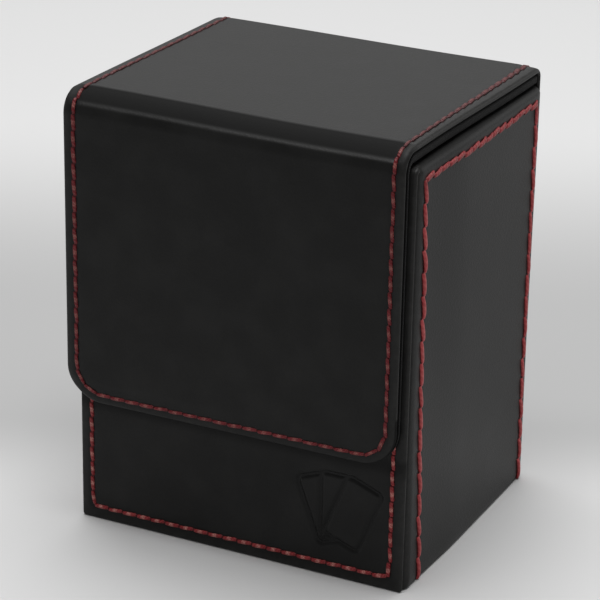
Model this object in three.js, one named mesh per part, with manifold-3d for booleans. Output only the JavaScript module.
// Card deck box: a leather-covered board tub under a one-piece cover that runs up the back,
// over the top and down the front as a magnetic flap, with contrast stitching on every panel.
// Millimetres, +Z up, the flap faces -Y. The origin is the middle of the footprint, on the floor.
//
// Sizes and places below are written in the tub's frame: X from the tub's middle, Y from the
// face of the front panel towards the back, Z from the floor. The exported group moves that
// frame so that the middle of the whole box's footprint is the origin.

import * as THREE from 'three';
import { mergeVertices } from 'three/addons/utils/BufferGeometryUtils.js';
import Module from 'manifold-3d';

const wasm = await Module();
wasm.setup();

// ---------------------------------------------------------------- driving sizes

const tubWidth = 83;
const tubDepth = 72;            // front panel's face to the back cover's face
const boxHeight = 105;          // floor to the lid's upper face
const coverShift = -1.3;        // the cover sits a little to the left of the tub

const tubLeather = 1.3;
const tubBoard = 2;
const tubLining = 0.8;
const coverLeather = 1.7;
const lidLining = 2;
const lidBoard = 1.2;
const flapLining = 1.2;
const flapBoard = 0.7;

const flapDrop = 73.5;          // lid's upper face to the flap's lower edge
const flapCornerRadius = 8.5;
const frontBendRadius = 5.5;    // outside of the bend between lid and flap
const frontBendReach = 6;       // that bend's strip, measured from the corner both ways
const rearBendRadius = 2.8;     // outside of the bend between back and lid
const rearBendReach = 3.4;

const boardInset = 5;           // a stiffening board's edge to its panel's edge
const boardCornerRadius = 4;
const magnetRadius = 6;
const magnetSpacing = 44;
const magnetMargin = 1;         // the flap's board below a magnet

const threadWidth = 0.9;
const threadThickness = 0.2;
const coverRowInset = 2.3;      // stitch rows from the cover's edges
const frontRowInset = 3;        // stitch rows from the front panel's sides
const frontRowRise = 3.9;       // lowest front stitch row above the floor
const sideRowDrop = 3.4;        // side stitch row below the side panel's top edge
const sideRowFrontTop = 4.8;    // the side's front row leans: its place at the top
const sideRowFrontFoot = 8;     // and its place at the foot
const sideRowRearInset = 2.6;   // side's rear row from the side panel's rear edge

// ---------------------------------------------------------------- clearances

const glueGap = 0.1;            // between glued layers
const seamGap = 0.3;            // between pieces that meet edge to edge
const flapGap = 0.5;            // air between the closed flap and the front panel
const rimGap = 0.85;            // air between the closed lid and the tub's rim
const pocketGap = 0.15;         // round a board or a magnet in its pocket
const hingeGap = 0.4;           // between the lid's lining and the hinge's lining strip
const threadLift = 0.05;        // under a thread that lies on the leather

// ---------------------------------------------------------------- edge rounding

const rimRadius = Math.min(1.1, tubLeather);
const coverEdgeRadius = Math.min(0.7, coverLeather / 2);
const roundSteps = 5;           // segments in each quarter turn

// ---------------------------------------------------------------- levels, Z

const lidCoverFoot = boxHeight - coverLeather;
const lidLiningTop = lidCoverFoot - glueGap;
const lidLiningFoot = lidLiningTop - lidLining;
const rimTop = lidLiningFoot - rimGap;
const rimFoot = rimTop - tubLeather;
const wallTop = rimFoot - glueGap;
const baseBoardFoot = tubLeather + glueGap;
const baseBoardTop = baseBoardFoot + tubBoard;
const floorLiningFoot = baseBoardTop + glueGap;
const floorLiningTop = floorLiningFoot + tubLining;
const flapFoot = boxHeight - flapDrop;
const flapTop = boxHeight - frontBendReach - seamGap / 2;
const backCoverTop = boxHeight - rearBendReach - seamGap / 2;
const magnetHeight = flapFoot + boardInset + magnetMargin + magnetRadius;

// ---------------------------------------------------------------- planes, X

const halfTub = tubWidth / 2;
const sideBoardOuter = halfTub - tubLeather - glueGap;
const sideBoardInner = sideBoardOuter - tubBoard;
const sideLiningOuter = sideBoardInner - glueGap;
const wellHalfWidth = sideLiningOuter - tubLining;
const betweenSides = wellHalfWidth - glueGap;
const coverWidth = tubWidth;    // the cover is cut to the tub's own width
const coverLeft = coverShift - coverWidth / 2;
const coverRight = coverShift + coverWidth / 2;

// ---------------------------------------------------------------- planes, Y

const frontBoardFace = tubLeather + glueGap;
const frontBoardBack = frontBoardFace + tubBoard;
const frontLiningFace = frontBoardBack + glueGap;
const wellFront = frontLiningFace + tubLining;
const backCoverFace = tubDepth - coverLeather;
const backBoardBack = backCoverFace - glueGap;
const backBoardFace = backBoardBack - tubBoard;
const backLiningBack = backBoardFace - glueGap;
const wellBack = backLiningBack - tubLining;
const sideFront = tubLeather + seamGap;
const sideBack = backCoverFace - seamGap;
const flapLiningBack = -flapGap;
const flapLiningFace = flapLiningBack - flapLining;
const flapCoverBack = flapLiningFace - glueGap;
const flapFace = flapCoverBack - coverLeather;
const lidFront = flapFace + frontBendReach + seamGap / 2;
const lidBack = tubDepth - rearBendReach - seamGap / 2;
const hingeStripFace = backBoardBack - tubLining;
const lidLiningBack = hingeStripFace - hingeGap;

// ---------------------------------------------------------------- finishes

const finishes = {
  leather: { color: 0x303030, roughness: 0.55, metalness: 0 },
  lining: { color: 0x1d1d1f, roughness: 0.95, metalness: 0 },
  board: { color: 0x7d766b, roughness: 0.9, metalness: 0 },
  thread: { color: 0xb03a44, roughness: 0.6, metalness: 0 },
  magnet: { color: 0xb9bbbd, roughness: 0.3, metalness: 1 },
};

// ---------------------------------------------------------------- solids

/** A local frame whose X and Y axes lie along the given world axes. */
function facing(across, up) {
  const out = new THREE.Vector3().crossVectors(across, up);
  return new THREE.Quaternion().setFromRotationMatrix(new THREE.Matrix4().makeBasis(across, up, out));
}

const xAxis = new THREE.Vector3(1, 0, 0);
const yAxis = new THREE.Vector3(0, 1, 0);
const zAxis = new THREE.Vector3(0, 0, 1);
const alongX = facing(yAxis, zAxis);      // outlines in (y, z), thickness towards +X
const towardsFront = facing(xAxis, zAxis); // outlines in (x, z), thickness towards -Y
const upwards = facing(xAxis, yAxis);      // outlines in (x, y), thickness towards +Z

function thick(outline, depth) {
  return new THREE.ExtrudeGeometry(outline, { depth, bevelEnabled: false, curveSegments: roundSteps });
}

/** A closed geometry as a solid that can be joined to another or cut by it. */
function toSolid(geometry) {
  const bare = geometry.clone();
  bare.deleteAttribute('normal');
  bare.deleteAttribute('uv');
  const merged = mergeVertices(bare);
  const vertProperties = new Float32Array(merged.attributes.position.array);
  const triVerts = new Uint32Array(merged.index.array);
  return new wasm.Manifold(new wasm.Mesh({ numProp: 3, vertProperties, triVerts }));
}

function toGeometry(solid) {
  const { vertProperties, triVerts } = solid.getMesh();
  const geometry = new THREE.BufferGeometry();
  geometry.setAttribute('position', new THREE.BufferAttribute(vertProperties, 3));
  geometry.setIndex(new THREE.BufferAttribute(triVerts, 1));
  geometry.computeVertexNormals();
  return geometry;
}

const joined = (first, second) => toGeometry(toSolid(first).add(toSolid(second)));
const cut = (block, tool) => toGeometry(toSolid(block).subtract(toSolid(tool)));

function piece(name, finish, geometry, frame, position) {
  const mesh = new THREE.Mesh(geometry, new THREE.MeshStandardMaterial(finishes[finish]));
  mesh.name = name;
  mesh.quaternion.copy(frame);
  mesh.position.copy(position);
  return mesh;
}

/** A piece whose outline in (y, z) is carried from one X to another. */
function acrossPiece(name, finish, outline, x0, x1) {
  return piece(name, finish, thick(outline, x1 - x0), alongX, new THREE.Vector3(x0, 0, 0));
}

/** A piece whose outline in (x, z) stands between two planes of Y. */
function standingPiece(name, finish, outline, y0, y1) {
  return piece(name, finish, thick(outline, y1 - y0), towardsFront, new THREE.Vector3(0, y1, 0));
}

/** A piece whose outline in (x, y) lies between two levels. */
function lyingPiece(name, finish, outline, z0, z1) {
  return piece(name, finish, thick(outline, z1 - z0), upwards, new THREE.Vector3(0, 0, z0));
}

// ---------------------------------------------------------------- outlines

/** A rectangle with rounded corners, given as low-low, high-low, high-high, low-high. */
function rectangle(a0, b0, a1, b1, [ll, hl, hh, lh] = [0, 0, 0, 0]) {
  const outline = new THREE.Shape();
  const quarter = Math.PI / 2;
  outline.moveTo(a0 + ll, b0);
  outline.lineTo(a1 - hl, b0);
  if (hl > 0) outline.absarc(a1 - hl, b0 + hl, hl, -quarter, 0);
  outline.lineTo(a1, b1 - hh);
  if (hh > 0) outline.absarc(a1 - hh, b1 - hh, hh, 0, quarter);
  outline.lineTo(a0 + lh, b1);
  if (lh > 0) outline.absarc(a0 + lh, b1 - lh, lh, quarter, 2 * quarter);
  outline.lineTo(a0, b0 + ll);
  if (ll > 0) outline.absarc(a0 + ll, b0 + ll, ll, 2 * quarter, 3 * quarter);
  return outline;
}

/**
 * A sheet bent through a quarter turn, in (y, z). Side is -1 for a bend at the front and 1 for
 * one at the back. Each radius is a pair, along Y and along Z. The level leg ends at legEnd,
 * the upright one at footEnd.
 */
function bend(side, centre, outer, inner, legEnd, footEnd) {
  const outline = new THREE.Shape();
  const above = Math.PI / 2;
  const level = side < 0 ? Math.PI : 0;
  outline.moveTo(legEnd, centre.z + outer.z);
  outline.lineTo(centre.y, centre.z + outer.z);
  outline.absellipse(centre.y, centre.z, outer.y, outer.z, above, level, side > 0);
  outline.lineTo(centre.y + side * outer.y, footEnd);
  outline.lineTo(centre.y + side * inner.y, footEnd);
  outline.lineTo(centre.y + side * inner.y, centre.z);
  outline.absellipse(centre.y, centre.z, inner.y, inner.z, level, above, side < 0);
  outline.lineTo(legEnd, centre.z + inner.z);
  return outline;
}

/** Carries a path through a U: down the left leg, round the two foot corners, up the right. */
function throughU(outline, left, right, foot, top, radius) {
  const quarter = Math.PI / 2;
  const middle = foot + radius;
  outline.lineTo(left, top);
  outline.lineTo(left, middle);
  if (radius > 0) outline.absarc(left + radius, middle, radius, 2 * quarter, 3 * quarter);
  outline.lineTo(right - radius, foot);
  if (radius > 0) outline.absarc(right - radius, middle, radius, -quarter, 0);
  outline.lineTo(right, top);
}

/** The same U carried the other way, from the right leg to the left. */
function backThroughU(outline, left, right, foot, top, radius) {
  const quarter = Math.PI / 2;
  const middle = foot + radius;
  outline.lineTo(right, top);
  outline.lineTo(right, middle);
  if (radius > 0) outline.absarc(right - radius, middle, radius, 0, -quarter, true);
  outline.lineTo(left + radius, foot);
  if (radius > 0) outline.absarc(left + radius, middle, radius, -quarter, -2 * quarter, true);
  outline.lineTo(left, top);
}

/** A stitch row shaped like a U, with the radius of its foot corners at the thread's middle. */
function uRow(left, right, foot, top, radius) {
  const half = threadWidth / 2;
  const outer = radius > 0 ? radius + half : 0;
  const inner = Math.max(radius - half, 0);
  const outline = new THREE.Shape();
  outline.moveTo(left - half, top);
  throughU(outline, left - half, right + half, foot - half, top, outer);
  backThroughU(outline, left + half, right - half, foot + half, top, inner);
  return outline;
}

/** The side panel's stitch row in (y, z): up the front, along the top and down the rear. */
function sideRow() {
  const half = threadWidth / 2;
  const top = rimTop - sideRowDrop;
  const rear = sideBack - sideRowRearInset;
  const outline = new THREE.Shape();
  outline.moveTo(sideRowFrontFoot - half, half);
  outline.lineTo(sideRowFrontFoot + half, half);
  outline.lineTo(sideRowFrontTop + half, top - half);
  outline.lineTo(rear - half, top - half);
  outline.lineTo(rear - half, half);
  outline.lineTo(rear + half, half);
  outline.lineTo(rear + half, top + half);
  outline.lineTo(sideRowFrontTop - half, top + half);
  return outline;
}

// ---------------------------------------------------------------- tub, front wall

/** Front panel's leather: a sheet over the full width, turned in over the wall's top. */
function frontCover() {
  const rounding = [0, 0, 0, rimRadius];
  const sheet = thick(rectangle(0, 0, tubLeather, rimTop, rounding), tubWidth);
  const turnIn = thick(rectangle(0, rimFoot, wellFront, rimTop, rounding), 2 * betweenSides);
  turnIn.translate(0, 0, halfTub - betweenSides);
  const place = new THREE.Vector3(-halfTub, 0, 0);
  return piece('front_cover', 'leather', joined(sheet, turnIn), alongX, place);
}

function magnetHoles(outline) {
  for (const side of [-1, 1]) {
    const hole = new THREE.Path();
    for (let turn = 0; turn < 4; turn += 1) {
      const start = turn * Math.PI / 2;
      const middle = side * magnetSpacing / 2;
      hole.absarc(middle, magnetHeight, magnetRadius + pocketGap, start, start + Math.PI / 2);
    }
    outline.holes.push(hole);
  }
  return outline;
}

function frontBoard() {
  const outline = magnetHoles(rectangle(-sideBoardOuter, baseBoardFoot, sideBoardOuter, wallTop));
  return standingPiece('front_board', 'board', outline, frontBoardFace, frontBoardBack);
}

function frontLining() {
  const outline = rectangle(-sideLiningOuter, floorLiningFoot, sideLiningOuter, wallTop);
  return standingPiece('front_lining', 'lining', outline, frontLiningFace, wellFront);
}

/** A disc magnet that fills the thickness of its board, with its axis along Y. */
function magnet(name, side, face, back) {
  const disc = new THREE.CylinderGeometry(magnetRadius, magnetRadius, back - face, 24);
  const place = new THREE.Vector3(side * magnetSpacing / 2, (face + back) / 2, magnetHeight);
  return piece(name, 'magnet', disc, new THREE.Quaternion(), place);
}

// ---------------------------------------------------------------- tub, side walls

/** Side panel's leather: up the outside and turned in over the wall's top. */
function sideCover(name, side) {
  const [outer, inner] = [side * halfTub, side * wellHalfWidth];
  const face = side * (halfTub - tubLeather);
  const up = Math.PI / 2;
  const outline = new THREE.Shape();
  outline.moveTo(face, 0);
  outline.lineTo(outer, 0);
  outline.lineTo(outer, rimTop - rimRadius);
  outline.absarc(outer - side * rimRadius, rimTop - rimRadius, rimRadius, up - side * up, up, side < 0);
  outline.lineTo(inner, rimTop);
  outline.lineTo(inner, rimFoot);
  outline.lineTo(face, rimFoot);
  return standingPiece(name, 'leather', outline, sideFront, sideBack);
}

function sideBoard(name, side) {
  const [inner, outer] = [side * sideBoardInner, side * sideBoardOuter];
  const outline = rectangle(Math.min(inner, outer), baseBoardFoot, Math.max(inner, outer), wallTop);
  return standingPiece(name, 'board', outline, frontLiningFace, backLiningBack);
}

function sideLining(name, side) {
  const [inner, outer] = [side * wellHalfWidth, side * sideLiningOuter];
  const outline = rectangle(Math.min(inner, outer), floorLiningFoot, Math.max(inner, outer), wallTop);
  return standingPiece(name, 'lining', outline, wellFront + glueGap, wellBack - glueGap);
}

// ---------------------------------------------------------------- tub, back wall and base

function backCover() {
  const outline = rectangle(coverLeft, 0, coverRight, backCoverTop);
  return standingPiece('back_cover', 'leather', outline, backCoverFace, tubDepth);
}

function backBoard() {
  const outline = rectangle(-sideBoardOuter, baseBoardFoot, sideBoardOuter, wallTop);
  return standingPiece('back_board', 'board', outline, backBoardFace, backBoardBack);
}

function backLining() {
  const outline = rectangle(-sideLiningOuter, floorLiningFoot, sideLiningOuter, wallTop);
  return standingPiece('back_lining', 'lining', outline, wellBack, backLiningBack);
}

function baseCover() {
  const outline = rectangle(-sideBoardOuter, frontBoardFace, sideBoardOuter, backBoardBack);
  return lyingPiece('base_cover', 'leather', outline, 0, tubLeather);
}

function baseBoard() {
  const outline = rectangle(-sideLiningOuter, frontLiningFace, sideLiningOuter, backLiningBack);
  return lyingPiece('base_board', 'board', outline, baseBoardFoot, baseBoardTop);
}

function floorLining() {
  const outline = rectangle(-betweenSides, wellFront + glueGap, betweenSides, wellBack - glueGap);
  return lyingPiece('floor_lining', 'lining', outline, floorLiningFoot, floorLiningTop);
}

// ---------------------------------------------------------------- rear hinge

/** Outer leather of the hinge: a quarter bend between the back and the lid. */
function rearHingeLeather() {
  const centre = { y: tubDepth - rearBendRadius, z: boxHeight - rearBendRadius };
  const outer = { y: rearBendRadius, z: rearBendRadius };
  const inner = { y: rearBendRadius - coverLeather, z: rearBendRadius - coverLeather };
  const outline = bend(1, centre, outer, inner, lidBack + seamGap, backCoverTop + seamGap);
  return acrossPiece('rear_hinge_leather', 'leather', outline, coverLeft, coverRight);
}

/** Inner strip of the hinge: over the back wall's top, then up behind the lid's lining. */
function rearHingeLining() {
  const shelfTop = rimFoot + tubLining;
  const outline = new THREE.Shape();
  outline.moveTo(wellBack, rimFoot);
  outline.lineTo(backBoardBack, rimFoot);
  outline.lineTo(backBoardBack, lidLiningFoot);
  outline.lineTo(hingeStripFace, lidLiningFoot);
  outline.lineTo(hingeStripFace, shelfTop);
  outline.lineTo(wellBack, shelfTop);
  return acrossPiece('rear_hinge_lining', 'lining', outline, -betweenSides, betweenSides);
}

// ---------------------------------------------------------------- lid

function lidCover() {
  const rounding = [0, 0, coverEdgeRadius, coverEdgeRadius];
  const outline = rectangle(coverLeft, lidCoverFoot, coverRight, boxHeight, rounding);
  return standingPiece('lid_cover', 'leather', outline, lidFront, lidBack);
}

/** The lid's board lies in a pocket in the upper face of the lining. */
function lidLiningPanel() {
  const panel = thick(rectangle(coverLeft, lidFront, coverRight, lidLiningBack), lidLining);
  const pocket = thick(lidBoardOutline(pocketGap), lidLining);
  pocket.translate(0, 0, lidLining - lidBoard - glueGap);
  const place = new THREE.Vector3(0, 0, lidLiningFoot);
  return piece('lid_lining', 'lining', cut(panel, pocket), upwards, place);
}

function lidBoardOutline(gap) {
  const radius = boardCornerRadius + gap;
  const inset = boardInset - gap;
  const [y0, y1] = [lidFront + inset, lidLiningBack - inset];
  return rectangle(coverLeft + inset, y0, coverRight - inset, y1, [radius, radius, radius, radius]);
}

function lidBoardPanel() {
  return lyingPiece('lid_board', 'board', lidBoardOutline(0), lidLiningTop - lidBoard, lidLiningTop);
}

// ---------------------------------------------------------------- front hinge

const frontBendCentre = { y: flapFace + frontBendRadius, z: boxHeight - frontBendRadius };

function frontHingeLeather() {
  const outer = { y: frontBendRadius, z: frontBendRadius };
  const inner = { y: frontBendRadius - coverLeather, z: frontBendRadius - coverLeather };
  const outline = bend(-1, frontBendCentre, outer, inner, lidFront - seamGap, flapTop + seamGap);
  return acrossPiece('front_hinge_leather', 'leather', outline, coverLeft, coverRight);
}

function frontHingeLining() {
  const outerRadius = frontBendRadius - coverLeather - glueGap;
  const outer = { y: outerRadius, z: outerRadius };
  const inner = { y: outerRadius - flapLining, z: outerRadius - lidLining };
  const outline = bend(-1, frontBendCentre, outer, inner, lidFront - seamGap, flapTop + seamGap);
  return acrossPiece('front_hinge_lining', 'lining', outline, coverLeft, coverRight);
}

// ---------------------------------------------------------------- flap

function flapOutline() {
  const radii = [flapCornerRadius, flapCornerRadius, 0, 0];
  return rectangle(coverLeft, flapFoot, coverRight, flapTop, radii);
}

function flapCover() {
  return standingPiece('flap_cover', 'leather', flapOutline(), flapFace, flapCoverBack);
}

/** The flap's board and magnets lie in a pocket in the outer face of the lining. */
function flapLiningPanel() {
  const panel = thick(flapOutline(), flapLining);
  const pocket = thick(flapBoardOutline(pocketGap), flapLining);
  pocket.translate(0, 0, flapLining - flapBoard - glueGap);
  const place = new THREE.Vector3(0, flapLiningBack, 0);
  return piece('flap_lining', 'lining', cut(panel, pocket), towardsFront, place);
}

function flapBoardOutline(gap) {
  const radius = boardCornerRadius + gap;
  const inset = boardInset - gap;
  const radii = [radius, radius, radius, radius];
  return rectangle(coverLeft + inset, flapFoot + inset, coverRight - inset, flapTop - inset, radii);
}

function flapBoardPanel() {
  const outline = magnetHoles(flapBoardOutline(0));
  return standingPiece('flap_board', 'board', outline, flapLiningFace, flapLiningFace + flapBoard);
}

// ---------------------------------------------------------------- stitching

function frontPanelStitching() {
  const across = halfTub - frontRowInset;
  const outline = uRow(-across, across, frontRowRise, wallTop, 0);
  const face = -threadLift;
  return standingPiece('front_panel_stitching', 'thread', outline, face - threadThickness, face);
}

function sideStitching(name, side) {
  const near = halfTub + threadLift;
  const far = near + threadThickness;
  const start = side > 0 ? near : -far;
  return acrossPiece(name, 'thread', sideRow(), start, start + threadThickness);
}

function backStitching() {
  const [left, right] = [coverLeft + coverRowInset, coverRight - coverRowInset];
  const outline = uRow(left, right, frontRowRise, backCoverTop, 0);
  const face = tubDepth + threadLift;
  return standingPiece('back_stitching', 'thread', outline, face, face + threadThickness);
}

function lidStitching(name, side) {
  const middle = coverShift + side * (coverWidth / 2 - coverRowInset);
  const outline = rectangle(middle - threadWidth / 2, lidFront, middle + threadWidth / 2, lidBack);
  const foot = boxHeight + threadLift;
  return lyingPiece(name, 'thread', outline, foot, foot + threadThickness);
}

function flapStitching() {
  const [left, right] = [coverLeft + coverRowInset, coverRight - coverRowInset];
  const radius = Math.max(flapCornerRadius - coverRowInset, 0);
  const outline = uRow(left, right, flapFoot + coverRowInset, flapTop, radius);
  const face = flapFace - threadLift;
  return standingPiece('flap_stitching', 'thread', outline, face - threadThickness, face);
}

// ---------------------------------------------------------------- assembly

function grouped(...meshes) {
  const group = new THREE.Group();
  group.add(...meshes);
  return group;
}

const tub = grouped(
  baseCover(), baseBoard(), floorLining(),
  frontCover(), frontBoard(), frontLining(),
  sideCover('left_cover', -1), sideBoard('left_board', -1), sideLining('left_lining', -1),
  sideCover('right_cover', 1), sideBoard('right_board', 1), sideLining('right_lining', 1),
  backCover(), backBoard(), backLining(),
  magnet('front_magnet_left', -1, frontBoardFace, frontBoardBack),
  magnet('front_magnet_right', 1, frontBoardFace, frontBoardBack),
  rearHingeLeather(), rearHingeLining(),
  frontPanelStitching(), backStitching(),
  sideStitching('left_side_stitching', -1), sideStitching('right_side_stitching', 1),
);

const lid = grouped(
  lidCover(), lidLiningPanel(), lidBoardPanel(),
  frontHingeLeather(), frontHingeLining(),
  lidStitching('lid_stitching_left', -1), lidStitching('lid_stitching_right', 1),
);

const flap = grouped(
  flapCover(), flapLiningPanel(), flapBoardPanel(),
  magnet('flap_magnet_left', -1, flapLiningFace, flapLiningFace + flapBoard),
  magnet('flap_magnet_right', 1, flapLiningFace, flapLiningFace + flapBoard),
  flapStitching(),
);

// The whole box's footprint, with the threads that stand on its faces.
const threadStand = threadLift + threadThickness;
const leftmost = Math.min(coverLeft, -halfTub - threadStand);
const rightmost = Math.max(coverRight, halfTub + threadStand);
const footprintMiddle = new THREE.Vector3((leftmost + rightmost) / 2, (flapFace + tubDepth) / 2, 0);

const deckBox = grouped(tub, lid, flap);
deckBox.position.copy(footprintMiddle).negate();

export default deckBox;
